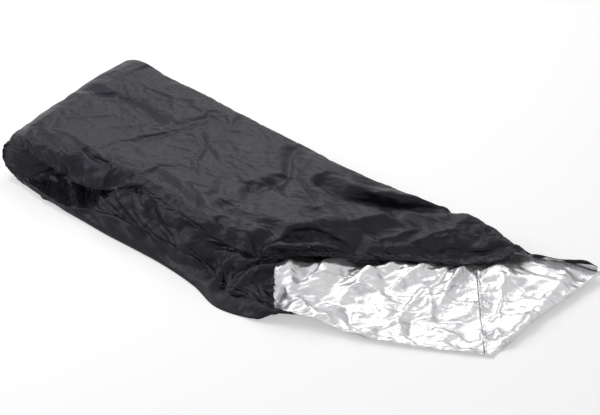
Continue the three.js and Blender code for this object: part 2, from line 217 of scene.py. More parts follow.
def smooth(points, places):
    """Points on smooth lines through rows of points; place 1.5 is halfway from row 1 to 2."""
    points = np.asarray(points, float)
    before = 2 * points[0] - points[1]
    after = 2 * points[-1] - points[-2]
    padded = np.concatenate([before[None], points, after[None]])
    span = np.minimum(np.floor(places).astype(int), len(points) - 2)
    share = (np.asarray(places) - span).reshape(-1, *[1] * (points.ndim - 1))
    a, b, c, d = (padded[span + k] for k in range(4))

    def root(p, q):
        return np.maximum(np.linalg.norm(q - p, axis=-1, keepdims=True), 1e-9) ** 0.5

    ab, bc, cd = root(a, b), root(b, c), root(c, d)
    leave = ((b - a) / ab - (c - a) / (ab + bc) + (c - b) / bc) * bc
    arrive = ((c - b) / bc - (d - b) / (bc + cd) + (d - c) / cd) * bc
    bend = -3 * b + 3 * c - 2 * leave - arrive
    twist = 2 * b - 2 * c + leave + arrive
    return b + share * (leave + share * (bend + share * twist))


def loft(sections, row_places, column_places):
    """A grid of points on the surface through a table's sections."""
    rows = smooth(sections, row_places)
    return smooth(rows.transpose(1, 0, 2), column_places).transpose(1, 0, 2)


def along_path(points, path):
    """For each point: how far it lies from a path in plan, with a sign for the side, and
    the share of the path's length at the nearest place."""
    xy = points[..., :2]
    path = np.asarray(path, float)
    legs = np.linalg.norm(np.diff(path, axis=0), axis=1)
    nearest = np.full(xy.shape[:-1], np.inf)
    side = np.ones_like(nearest)
    share = np.zeros_like(nearest)
    for k, leg in enumerate(legs):
        start, run = path[k], path[k + 1] - path[k]
        t = np.clip(((xy - start) @ run) / leg**2, 0, 1)
        off = xy - start - t[..., None] * run
        away = np.hypot(off[..., 0], off[..., 1])
        closer = away < nearest
        nearest = np.where(closer, away, nearest)
        side = np.where(closer, np.sign(run[0] * off[..., 1] - run[1] * off[..., 0]), side)
        share = np.where(closer, (legs[:k].sum() + t * leg) / legs.sum(), share)
    return nearest * side, share


def fold(grid, folds):
    """Lowers the cloth into its troughs, and lifts it where the depth is below zero."""
    grid = grid.copy()
    for path, depth, width in folds:
        away, _ = along_path(grid, path)
        grid[..., 2] -= depth * bell(away, width)
    return grid


def top_layer():
    return fold(loft(TOP_SECTIONS, spans(TOP_ROWS), spans(TOP_COLUMNS)), TOP_FOLDS)


def under_layer():
    grid = fold(loft(UNDER_SECTIONS, spans(UNDER_ROWS), spans(UNDER_COLUMNS)), UNDER_FOLDS)
    grid[..., 2] = np.maximum(grid[..., 2], 0)
    return grid


def between(line, places, at):
    """Points on a line at other places, given the places of its own points."""
    return np.stack([np.interp(at, places, line[:, k]) for k in range(3)], -1)


def bend(upper, lower, reach, steps):
    """Half turns from the upper points to the lower ones, bulging by reach towards -X."""
    angle = np.linspace(0, math.pi, steps + 1)[:, None]
    share = (1 - np.cos(angle))[..., None] / 2
    rows = upper * (1 - share) + lower * share
    rows[..., 0] -= reach * np.sin(angle)
    return rows


# ---- Meshes ------------------------------------------------------------------------------


def normals_of(grid):
    """The direction square to a grid of points, at each point."""
    across = np.gradient(grid, axis=1)
    along = np.gradient(grid, axis=0)
    normal = np.cross(along, across)
    return normal / np.maximum(np.linalg.norm(normal, axis=-1, keepdims=True), 1e-12)


def add_object(name, data):
    """A new object in the scene, with a mesh, a lamp or a camera as its data."""
    piece = bpy.data.objects.new(name, data)
    bpy.context.scene.collection.objects.link(piece)
    return piece


def cloth_mesh(name, grid, flip=False, allowance=None, outside=0):
    """A closed sheet on a grid of points in metres. Material 0 is on the side that the
    grid's normals point to, material 1 on the other, and the rim has material 0.
    allowance says which squares of the grid show the black seam allowance on the inside;
    outside is the number of the black material."""
    rows, columns = grid.shape[:2]
    normal = normals_of(grid) * (-1 if flip else 1)
    points = np.concatenate([
        (grid + normal * CLOTH / 2).reshape(-1, 3),
        (grid - normal * CLOTH / 2).reshape(-1, 3),
    ])
    ids = np.arange(rows * columns).reshape(rows, columns)
    a, b, c, d = ids[:-1, :-1], ids[1:, :-1], ids[1:, 1:], ids[:-1, 1:]
    # Both skins are split along the same diagonals, so that they never cross.
    face = np.stack([a, b, c, a, c, d], -1).reshape(-1, 3)
    if flip:
        face = face[:, ::-1]
    back = face[:, ::-1] + rows * columns
    loop = np.concatenate([ids[0, :], ids[1:, -1], ids[-1, -2::-1], ids[-2:0:-1, 0]])
    ahead = np.roll(loop, -1)
    if flip:
        loop, ahead = ahead, loop
    rim = np.stack([loop, ahead, ahead + rows * columns, loop + rows * columns], -1)
    faces = [*face.tolist(), *back.tolist(), *rim.tolist()]

    mesh = bpy.data.meshes.new(name)
    mesh.from_pydata(points.tolist(), [], faces)
    finish = np.zeros(len(faces), np.int32)
    finish[len(face):len(face) * 2] = 1
    if allowance is not None:
        turned_in = np.repeat(allowance.reshape(-1), 2)
        inside = np.flatnonzero(turned_in) + (0 if outside else len(face))
        finish[inside] = outside
    mesh.polygons.foreach_set("material_index", finish)
    mesh.polygons.foreach_set("use_smooth", np.ones(len(faces), bool))

    # The map of the cloth, in metres along its two threads.
    u = np.cumsum(np.linalg.norm(np.diff(grid, axis=0, prepend=grid[:1]), axis=-1), axis=0)
    v = np.cumsum(np.linalg.norm(np.diff(grid, axis=1, prepend=grid[:, :1]), axis=-1), axis=1)
    flat = np.stack([u, v], -1).reshape(-1, 2)
    flat = np.concatenate([flat, flat])
    layer = mesh.uv_layers.new(name="cloth")
    corners = np.zeros(len(mesh.loops), np.int32)
    mesh.loops.foreach_get("vertex_index", corners)
    layer.data.foreach_set("uv", flat[corners].ravel())
    mesh.update()
    return add_object(name, mesh)


# ---- Materials ---------------------------------------------------------------------------

BLACK_COATING, RUBBED_COATING = (0.0085, 0.008, 0.012), (0.0165, 0.016, 0.0225)
# The second silver is painted shade: a darker grey laid along the crease lines in place of the shade
# and darker reflections of the folds.
SILVER, CREASE_SHADE_SILVER = (0.7, 0.7, 0.715), (0.32, 0.32, 0.34)
DARK_THREAD, LIGHT_THREAD = (0.012, 0.012, 0.016), (0.035, 0.035, 0.042)
WEAVE = 0.0011
BLACK_RELIEF, SILVER_RELIEF = 0.0016, 0.0035


class Wire:
    """A value in a material's nodes, on which arithmetic adds the nodes it needs."""

    def __init__(self, tree, socket):
        self.tree = tree
        self.socket = socket

    def node(self, kind, settings=None, output=0, **inputs):
        """The output of a new node. settings are its properties; inputs its sockets."""
        return add_node(self.tree, kind, settings, output, **inputs)

    def math(self, operation, *values):
        return add_math(self.tree, operation, *values)

    def __add__(self, other):
        return self.math("ADD", self, other)

    def __radd__(self, other):
        return self.math("ADD", other, self)

    def __sub__(self, other):
        return self.math("SUBTRACT", self, other)

    def __rsub__(self, other):
        return self.math("SUBTRACT", other, self)

    def __mul__(self, other):
        return self.math("MULTIPLY", self, other)

    def __rmul__(self, other):
        return self.math("MULTIPLY", other, self)

    def absolute(self):
        return self.math("ABSOLUTE", self)

    def sine(self):
        return self.math("SINE", self)

    def clamped(self):
        return self.math("MINIMUM", self.math("MAXIMUM", self, 0), 1)


def plug(tree, socket, value):
    if isinstance(value, Wire):
        tree.links.new(value.socket, socket)
    else:
        socket.default_value = value


def add_math(tree, operation, *values):
    node = tree.nodes.new("ShaderNodeMath")
    node.operation = operation
    for socket, value in zip(node.inputs, values):
        plug(tree, socket, value)
    return Wire(tree, node.outputs[0])


def add_node(tree, kind, settings=None, output=0, **inputs):
    node = tree.nodes.new(kind)
    for name, value in (settings or {}).items():
        setattr(node, name, value)
    for name, value in inputs.items():
        key = int(name[1:]) if name[0] == "_" else name.replace("_", " ")
        plug(tree, node.inputs[key], value)
    return Wire(tree, node.outputs[output])


def new_material(name):
    """A new material, with its node tree and its shader."""
    material = bpy.data.materials.new(name)
    material.use_nodes = True
    tree = material.node_tree
    return material, tree, tree.nodes["Principled BSDF"]


def cloth_places(tree):
    """Where a point lies on its flat cloth, in metres: along it, and across."""
    uv = tree.nodes.new("ShaderNodeUVMap")
    uv.uv_map = "cloth"
    return Wire(tree, uv.outputs["UV"])


def cloth_noise(places, size, stretch=(1, 1), detail=2, bend=0):
    """Noise from 0 to 1 on the cloth, with features of a size in metres."""
    scaled = places.node("ShaderNodeVectorMath", {"operation": "MULTIPLY"},
                         _0=places, _1=(stretch[0] / size, stretch[1] / size, 0))
    return places.node("ShaderNodeTexNoise", {"noise_dimensions": "2D"},
                       Vector=scaled, Scale=1, Detail=detail, Distortion=bend)


def sharp_lines(places, size, stretch=(1, 1), bend=0.6):
    """Height from 0 to 1 that comes to sharp ridge lines, as creases in a coating do."""
    return 1 - (cloth_noise(places, size, stretch, 1, bend) * 2 - 1).absolute() * 3


def weave(places, thread):
    """Height of a plain weave of threads: fine ribs both ways."""
    along, across = (
        (places.node("ShaderNodeSeparateXYZ", output=k, Vector=places) * (2 * math.pi / thread)).sine()
        for k in (0, 1)
    )
    return along * across


def bumped(shader, height, distance):
    """Gives a shader its fine relief: height times distance, in metres."""
    bump = height.node("ShaderNodeBump", Strength=1.0, Distance=distance, Height=height)
    height.tree.links.new(bump.socket, shader.inputs["Normal"])


def tint(fraction, low, high):
    """A colour between two others."""
    return fraction.node("ShaderNodeMix", {"data_type": "RGBA"}, output=2,
                         _0=fraction, _6=(*low, 1), _7=(*high, 1))


def black_cloth():
    """Black coated polyester: dull sheen, small hard creases, faint rubbed patches."""
    material, tree, shader = new_material("black_cloth")
    places = cloth_places(tree)
    patches = cloth_noise(places, 0.11, detail=3)
    lines = (sharp_lines(places, 0.16, (0.5, 1.4), 0.2) * 2 - 1).clamped()
    small = (sharp_lines(places, 0.05, (1, 1), 0.3) * 2 - 1).clamped()
    rubbed = (lines * 0.4 + patches * 1.2 - 0.3).clamped()
    plug(tree, shader.inputs["Base Color"], tint(rubbed, BLACK_COATING, RUBBED_COATING))
    plug(tree, shader.inputs["Roughness"], patches * 0.16 + 0.3)
    shader.inputs["Specular IOR Level"].default_value = 0.2
    shader.inputs["Specular Tint"].default_value = (0.9, 0.88, 1, 1)
    height = lines * 0.5 + small * 0.12 + weave(places, WEAVE) * 0.02
    bumped(shader, height, BLACK_RELIEF)
    return material


def silver_cloth():
    """The silver coating of the inside: bright, half mirror, crumpled like foil, with painted shade:
    its crease lines are coloured a darker grey that stands in for the shade and darker reflections in
    the folds.
    """
    material, tree, shader = new_material("silver_cloth")
    places = cloth_places(tree)
    patches = cloth_noise(places, 0.09, detail=3)
    lines = (sharp_lines(places, 0.14, (0.8, 1.3), 0.3) * 1.5 - 0.5).clamped()
    small = (sharp_lines(places, 0.05, (1, 1), 0.6) * 1.5 - 0.5).clamped()
    # Painted shade: the crease lines are tinted darker grey in patches, standing in for shade and
    # darker reflections in the folds.
    painted_crease_shade = (lines * 1.6 - 0.9).clamped()
    plug(tree, shader.inputs["Base Color"], tint(painted_crease_shade * patches, SILVER, CREASE_SHADE_SILVER))
    shader.inputs["Metallic"].default_value = 0.65
    plug(tree, shader.inputs["Roughness"], patches * 0.16 + 0.2)
    height = lines * 0.5 + small * 0.1 + weave(places, WEAVE) * 0.01
    bumped(shader, height, SILVER_RELIEF)
    return material


def thread():
    material, tree, shader = new_material("black_thread")
    place_in = add_node(tree, "ShaderNodeTexCoord", output=3)
    twist = add_node(tree, "ShaderNodeTexNoise", Vector=place_in, Scale=900.0, Detail=1.0)
    plug(tree, shader.inputs["Base Color"], tint(twist, DARK_THREAD, LIGHT_THREAD))
    shader.inputs["Roughness"].default_value = 0.7
    return material


# ---- Creases -----------------------------------------------------------------------------

# Sharp creases of the upper layer: path in plan, height (a valley is below zero), width,
# and how many times as wide it falls on the left of the path.
TOP_CREASES = [
    # Along the turn to the near slope.
    ([(18, -50), (25, -48.5), (32, -49.5), (45, -49.5), (54, -49.3)], 0.5, 1.2, 2),
    ([(50, -49), (60, -48.6), (66, -48.3), (73, -49), (82, -50), (90, -50)], 0.45, 0.9, 2),
    ([(33, -51), (38, -51.2), (44, -50.5)], -0.9, 1.2, 0.6),
    ([(44, -49.6), (45.2, -52), (45, -55)], 0.5, 0.7, 1),
    # The fan that meets on the slope.
    ([(55, -43), (66, -44.5), (72, -46.2), (78, -48)], -0.32, 0.6, 1.6),
    ([(60, -47), (70, -47.8), (79, -48.6)], -0.32, 0.5, 1.6),
    ([(67, -41), (73, -43.5), (78, -47.8)], -0.3, 0.5, 1.6),
    ([(64, -40.4), (69.5, -39.4), (77, -37.4)], 0.3, 1, 1.4),
    ([(75, -41), (80, -39.6), (86, -38)], -0.28, 0.6, 2),
    ([(81, -41.8), (90, -40.2), (96.5, -39.4), (103, -37.6)], -0.4, 0.7, 2.2),
    ([(69, -53), (75.5, -52), (82.5, -51), (89, -49.4)], 0.4, 0.8, 1.6),
    ([(85.6, -47), (87.6, -48.6), (90.4, -49.6)], -0.45, 0.5, 1),
    ([(90, -48), (95, -45.6), (99, -44)], 0.4, 0.8, 1.4),
    # The long pull lines of the flat top.
    ([(14, -45), (18.4, -38.8), (21, -34.6), (24, -28)], 0.22, 0.9, 2),
    ([(36, -36), (40.4, -26), (43, -19.6), (45, -13), (50, -6.6)], 0.34, 1, 2.4),
    ([(36.2, -45.6), (36.6, -40), (39, -33)], 0.26, 0.7, 1.6),
    ([(27, -39), (33, -29.4), (36, -23)], -0.26, 0.7, 2),
    ([(9.6, -26.4), (12.8, -23.4), (16, -20)], -0.5, 0.6, 1.2),
    ([(16, -21.4), (20, -20.2), (24.4, -20.6)], -0.5, 0.6, 1.2),
    ([(15, -11.4), (24, -10), (31, -9), (38, -3.6)], 0.26, 0.8, 2),
    ([(50.6, -18.6), (55, -20.9), (61.6, -23.6), (66.6, -27.4)], -0.2, 0.6, 1.8),
    ([(66, -36), (60, -30), (56, -21)], 0.2, 1, 1.6),
    ([(58, -36), (66, -33), (76, -31.5)], -0.24, 0.9, 1.6),
    # The star and the zigzag in the middle.
    ([(78, -5.6), (82.8, -10.7), (86, -14.8), (90.6, -24)], 0.36, 0.6, 1.4),
    ([(84.6, -4.6), (85.4, -9), (86, -14.8)], -0.3, 0.6, 1),
    ([(80.6, -19.6), (86, -14.8)], -0.3, 0.5, 1),
    ([(86, -14.8), (92.2, -16.2), (100.4, -19.2)], -0.4, 0.6, 1.4),
    ([(75.6, -28.4), (80, -27.1), (83, -29.4)], -0.4, 0.5, 1.4),
    ([(83, -29.6), (80.9, -22.6)], 0.4, 0.5, 1),
    ([(80.6, -22.8), (83.5, -21.1), (89.6, -22.9)], -0.55, 0.6, 1.5),
    ([(92, -22), (97, -20.4), (101, -21.6)], 0.3, 0.6, 1.4),
    # The deep valley beside the far edge, and the folds round it.
    ([(92, -12), (98, -11.6), (103.2, -10.6), (107, -8.4)], -0.5, 0.7, 1.6),
    ([(103, -10.4), (107.4, -7.6), (112.4, -4.9), (117.1, -1.4), (121.4, 3), (126, 8)], -1.3, 0.8, 1.4),
    ([(100, -7.6), (108, -4), (114, 0), (120, 5.6)], 0.5, 1.4, 1.4),
    # By the mouth.
    ([(101, -46), (102.8, -41), (102.7, -35), (104.4, -31.6), (108, -28), (113, -24)], 0.7, 0.9, 2),
    ([(103.4, -38), (107.6, -33.2), (113.3, -28.7), (120, -24)], -0.7, 0.8, 1.2),
    ([(110.4, -26.2), (114, -25), (118.4, -24)], 0.4, 0.6, 1),
    ([(113, -20), (115.4, -16.2), (119.4, -8)], 0.45, 1, 1.4),
    ([(116.4, -18.6), (120.8, -17.6), (126, -17.8)], -0.5, 0.8, 1.4),
    ([(122.4, -19), (125.3, -13.9), (126.4, -10), (128.6, -5)], 0.5, 0.7, 1.6),
    ([(119, -8.4), (124.8, -6.5), (131.6, -6)], -0.4, 0.7, 1.4),
    ([(130, -12), (132, -5.9), (133.6, -0.6), (136.6, 2.8)], 0.4, 0.7, 1.5),
    ([(130.6, -10), (133.4, -10.9), (136.6, -12)], -0.5, 0.5, 1),
    ([(133.4, -6), (135.6, -1)], 0.35, 0.5, 1),
    ([(136.4, -0.6), (139.4, -1.1), (142, -1.6)], -0.4, 0.5, 1),
    ([(136, -8.4), (139.2, -3.6), (142.9, -1.1), (146.2, 1.7), (149, 5.6)], -0.8, 0.7, 1.5),
    ([(127, 9), (129.5, 6), (133, 3.4)], -0.5, 0.7, 1.2),
    ([(140, 9), (144, 5), (149, 2.6)], 0.4, 0.9, 1.5),
    ([(146, 4), (150, 6), (155, 7.4)], -0.35, 0.6, 1.5),
]

# Sharp creases of the silver inside, beyond the near panel.
SILVER_CREASES = [
    ([(101, -35), (107, -40), (112, -44), (115, -50)], 0.5, 1, 1.5),
    ([(113.6, -45), (115, -36), (111.6, -30)], -0.6, 0.8, 1.4),
    ([(113, -38), (116, -32), (119.6, -25)], 0.5, 0.8, 1.5),
    ([(114, -48), (120, -48), (127, -50.4), (133, -48)], 0.6, 0.8, 1.4),
    ([(120, -43), (129, -39.6), (135, -45), (142, -43)], -0.7, 0.9, 1.4),
    ([(126, -39), (127, -33), (127, -26)], 0.6, 0.9, 1.5),
    ([(120, -23), (123, -21), (124, -27), (124, -32)], -0.9, 0.9, 1.5),
    ([(132, -34), (140, -35), (144, -36)], 0.5, 0.8, 1.4),
    ([(138, -49), (139, -41), (136.6, -35)], -0.5, 0.7, 1.4),
    ([(129.6, -13), (129, -23), (124.6, -32)], 0.8, 1, 1.8),
    ([(130, -27), (132, -18)], -0.5, 0.8, 1.4),
    ([(137.4, -8), (136, -18), (134.6, -29)], 0.8, 1, 1.8),
    ([(142, -5), (142.4, -14), (141.6, -20)], -0.7, 0.9, 1.6),
    ([(145, -5), (145.4, -11), (147, -17), (149.6, -23)], 0.8, 0.9, 1.6),
    ([(146.4, -3.6), (152, -7), (155.6, -3.4)], -0.4, 0.8, 1.4),
    ([(141.6, -19), (148, -25), (152, -30)], 0.55, 0.8, 1.6),
    ([(140.6, -19), (143, -29), (144.4, -38)], 0.6, 0.8, 1.6),
    ([(145.6, -30), (151, -39)], -0.4, 0.7, 1.4),
    ([(153, -31), (159, -30), (164, -28.4)], 0.4, 0.7, 1.4),
    ([(145, -37), (151, -40), (156, -40)], 0.4, 0.7, 1.4),
    ([(148, -19.6), (154, -17), (161.6, -13.6)], 0.4, 0.8, 1.6),
    ([(151, -29), (156, -24), (161, -21), (165, -22)], -0.45, 0.7, 1.5),
    ([(154.6, 0), (160, -8), (163.4, -14), (163.6, -19)], 0.6, 1, 1.8),
    ([(156.6, -0.6), (165, -1), (170.6, -1)], -0.45, 0.7, 1.5),
    ([(162.6, -22.4), (167, -25), (167, -19.4), (172, -24)], 0.6, 0.7, 1.4),
    ([(168, 13.6), (170.4, -1), (171.4, -14), (172, -24)], 0.5, 0.7, 2.4),
    ([(155, 6), (162, 6), (168, 9)], -0.4, 0.9, 1.6),
]

# Sharp creases of the near side, as seen from that side: along, and upwards.
SIDE_CREASES = [
    ([(44, 13), (50, 10), (58, 7)], 0.9, 1.2, 1.5),
    ([(52, 15), (60, 11), (70, 8)], -0.9, 1, 1.4),
    ([(58, 15), (67, 12), (78, 9), (88, 8)], 1, 1.2, 1.5),
    ([(66, 8), (78, 6.4), (90, 6)], 0.9, 1, 1.4),
    ([(76, 13), (84, 10), (92, 9)], -0.9, 1, 1.4),
    ([(77, 2), (86, 3.6), (95, 6.6)], -1.2, 1.3, 1.4),
    ([(84, 0.6), (92, 2), (98, 4.6)], 1, 1, 1.4),
    ([(104.6, 9), (103, 6.4), (102.4, 2)], 1.4, 1.2, 1.6),
    ([(97.6, 9.6), (98.4, 5), (100, 1.6)], -1.1, 1.4, 1.2),
    ([(36, 8), (46, 6), (54, 3)], 0.9, 1.2, 1.4),
    ([(32, 5), (43, 4), (53, 1)], -0.9, 1, 1.4),
    ([(26, 3.6), (37, 3), (47, 0.8)], 0.8, 1, 1.4),
    ([(58, 6), (66, 4), (72, 1)], 0.9, 1, 1.4),
    ([(65, 6), (74, 4), (80, 1)], -0.8, 1, 1.4),
]

# In cover units: how blunt a crease is, the mouth hem with the groove and the puckers that
# its stitches make, how far its black turns in, and the rolled hem of the silver part.
CREASE_EDGE = 0.12
HEM_BAND = 3.3
STITCH_GROOVE, HEM_PUCKER = 0.4, 0.7
HEM_TURNED_IN = 5.5
ROLLED_HEM = 1.2

# In metres: the roll of a seam edge, and how it varies along the seam.
SEAM_RADIUS, SEAM_SIDES = 0.0016, 8
SEAM_UNEVEN, SEAM_WAVE = 0.25, 0.012

# Up to this place along the cover the lower layer is black inside along its near edge.
NEAR_SEAM_HIDDEN = 112

# The cloth simulation works on every second thread of a grid, with these settings.
SETTLED_EVERY = 2
COATED_CLOTH = {
    "quality": 6, "mass": 0.002, "air_damping": 5,
    "tension_stiffness": 15, "compression_stiffness": 15, "shear_stiffness": 6,
}


def noise(u, v, seed):
    """Smooth noise from -1 to 1 on a plane, with features about 1 across."""
    random = np.random.default_rng(seed)
    shuffle = random.permutation(1024)
    angle = random.uniform(0, 2 * math.pi, 1024)
    iu, iv = np.floor(u).astype(int), np.floor(v).astype(int)
    fu, fv = u - iu, v - iv

    def corner(du, dv):
        pick = shuffle[(shuffle[(iu + du) & 1023] + iv + dv) & 1023]
        return np.cos(angle[pick]) * (fu - du) + np.sin(angle[pick]) * (fv - dv)

    blend_u, blend_v = (f**3 * (f * (f * 6 - 15) + 10) for f in (fu, fv))
    low = corner(0, 0) * (1 - blend_u) + corner(1, 0) * blend_u
    high = corner(0, 1) * (1 - blend_u) + corner(1, 1) * blend_u
    return (low * (1 - blend_v) + high * blend_v) * 1.5


def ridges(u, v, seed):
    """Noise with sharp ridge lines, from 0 to 1."""
    bent_u = u + 0.5 * noise(u * 0.9, v * 0.9, seed + 50)
    bent_v = v + 0.5 * noise(u * 0.9 + 9, v * 0.9, seed + 51)
    return 1 - np.abs(noise(bent_u, bent_v, seed))


def crinkle(u, v, size, seed):
    """Creases of thin coated cloth at random: ridges and valleys of two sizes."""
    big = ridges(u / size, v / size, seed) - ridges(u / size + 40, v / size, seed + 1)
    small = ridges(u / size * 2.3, v / size * 2.3, seed + 2) - 0.7
    return big + 0.35 * small


def facets(u, v, size, seed, directions=6):
    """Flat facets between straight creases, as crumpled coated cloth has: heights on both
    sides of zero."""
    random = np.random.default_rng(seed)
    height = 0
    for k in range(directions):
        angle = math.pi * (k + random.uniform(-0.3, 0.3)) / directions
        length = size * random.uniform(0.7, 1.5)
        place = (u * math.cos(angle) + v * math.sin(angle)) / length + random.uniform(0, 1)
        place = place + 0.12 * noise(u / size / 1.5, v / size / 1.5, seed + k + 10)
        strength = np.clip(noise(u / size / 1.8, v / size / 1.8, seed + k + 30) + 0.25, 0, 1)
        zigzag = np.abs(2 * (place - np.floor(place)) - 1) - 0.5
        height = height + strength * zigzag * length / size
    return height


def creases(points, table, seed):
    """How far the sharp creases of a table lift the cloth."""
    wander = np.stack([
        noise(points[..., 0] / 3, points[..., 1] / 3, seed),
        noise(points[..., 0] / 3 + 30, points[..., 1] / 3, seed),
    ], -1) * 0.35
    bent = points[..., :2] + wander
    lift = np.zeros(points.shape[:-1])
    for path, height, width, lean in table:
        away, share = along_path(bent, path)
        reach = np.where(away > 0, width * lean, width)
        fade = np.clip(np.minimum(share, 1 - share) * 4, 0, 1)
        blunt = np.sqrt(away**2 + CREASE_EDGE**2) - CREASE_EDGE
        lift += height * fade * (2 - fade) * np.exp(-blunt / reach)
    return lift


def side_creases(along, height):
    """How far the creases of the near side lift it, at places along it and upwards."""
    return creases(np.stack([along, height], -1), SIDE_CREASES, 7)


def run_length(grid, axis, back=False):
    """How far each point of a grid lies from its first (or last) row or column."""
    steps = np.linalg.norm(np.diff(grid, axis=axis), axis=-1)
    pad = [(0, 0), (0, 0)]
    if back:
        pad[axis] = (0, 1)
        return np.flip(np.cumsum(np.flip(np.pad(steps, pad), axis), axis), axis)
    pad[axis] = (1, 0)
    return np.cumsum(np.pad(steps, pad), axis)


def hem_relief(from_edge, along, seed):
    """The lift of a gathered hem: a doubled band, its stitch groove and slanting puckers."""
    band = below(from_edge, HEM_BAND, 0.08)
    groove = -STITCH_GROOVE * bell(from_edge - HEM_BAND, 0.22)
    slant = along + 0.7 * from_edge
    pucker = ridges(slant / 2.2, from_edge / 5 + along / 9, seed) - 0.7
    pucker += 0.6 * (ridges(slant / 1.1 + 20, from_edge / 3, seed + 1) - 0.7)
    fade = np.exp(-np.maximum(from_edge - HEM_BAND, 0) / 1.2)
    return 0.09 * band + groove + HEM_PUCKER * pucker * fade


# ---- The sheets --------------------------------------------------------------------------


def settle(grid, hold, grow, bending, frames):
    """A grid in metres after its cloth, cut a little too large, has settled into wrinkles.

    hold says how firmly each point keeps its place, from 0 to 1. The cloth is simulated on
    every second thread, and the move of each point is then spread over the whole grid."""
    rows, columns = (
        np.unique(np.append(np.arange(0, count, SETTLED_EVERY), count - 1)) for count in grid.shape[:2]
    )
    start = grid[np.ix_(rows, columns)]
    firm = np.broadcast_to(hold, grid.shape[:2])[np.ix_(rows, columns)]
    ids = np.arange(start.shape[0] * start.shape[1]).reshape(start.shape[:2])
    faces = np.stack([ids[:-1, :-1], ids[1:, :-1], ids[1:, 1:], ids[:-1, 1:]], -1)
    mesh = bpy.data.meshes.new("settling")
    mesh.from_pydata(start.reshape(-1, 3).tolist(), [], faces.reshape(-1, 4).tolist())
    cloth = add_object("settling", mesh)
    scene = bpy.context.scene
    group = cloth.vertex_groups.new(name="hold")
    levels = np.round(firm, 3)
    for level in np.unique(levels):
        group.add(ids[levels == level].tolist(), float(level), "REPLACE")

    modifier = cloth.modifiers.new("cloth", "CLOTH")
    modifier.point_cache.frame_start, modifier.point_cache.frame_end = 1, frames
    modifier.collision_settings.use_collision = False
    settings = modifier.settings
    for setting, value in COATED_CLOTH.items():
        setattr(settings, setting, value)
    settings.bending_stiffness = bending
    settings.vertex_group_mass = "hold"
    settings.shrink_min = -grow
    settings.effector_weights.gravity = 0
    scene.frame_start, scene.frame_end = 1, frames
    for frame_number in range(1, frames + 1):
        scene.frame_set(frame_number)
    settled = cloth.evaluated_get(bpy.context.evaluated_depsgraph_get()).to_mesh()
    found = np.zeros(start.size, np.float32)
    settled.vertices.foreach_get("co", found)
    moved = found.reshape(start.shape) - start
    bpy.data.objects.remove(cloth)
    scene.frame_set(1)

    row_places = np.interp(np.arange(grid.shape[0]), rows, range(len(rows)))
    column_places = np.interp(np.arange(grid.shape[1]), columns, range(len(columns)))
    return grid + loft(moved, row_places, column_places)


def edge_hold(shape, inner, edges):
    """How firmly a sheet is held: inner all over, and beside each edge as given there, by
    how many rows and how firmly."""
    hold = np.full(shape, float(inner))
    for edge, (rows, value) in edges.items():
        where = {
            "first": np.s_[:rows, :], "last": np.s_[-rows:, :],
            "left": np.s_[:, :rows], "right": np.s_[:, -rows:],
        }[edge]
        hold[where] = np.maximum(hold[where], value)
    return hold


def above_floor(grid):
    """A grid in metres, kept on or above the floor: what would sink is pressed flat on it."""
    floor = CAD_LOW.z + CLOTH / 2 + FLOOR_GAP
    height = grid[..., 2] - floor
    pressed = FLOOR_SOFT * np.exp(np.minimum(height, FLOOR_SOFT) / FLOOR_SOFT - 1)
    grid[..., 2] = floor + np.where(height < FLOOR_SOFT, pressed, height)
    return grid


def raised(grid, lift, unit=UNIT):
    """A grid in metres, lifted along its normals by distances in cover units. For a grid in
    cover units the unit is 1."""
    return grid + normals_of(grid) * (lift * unit)[..., None]


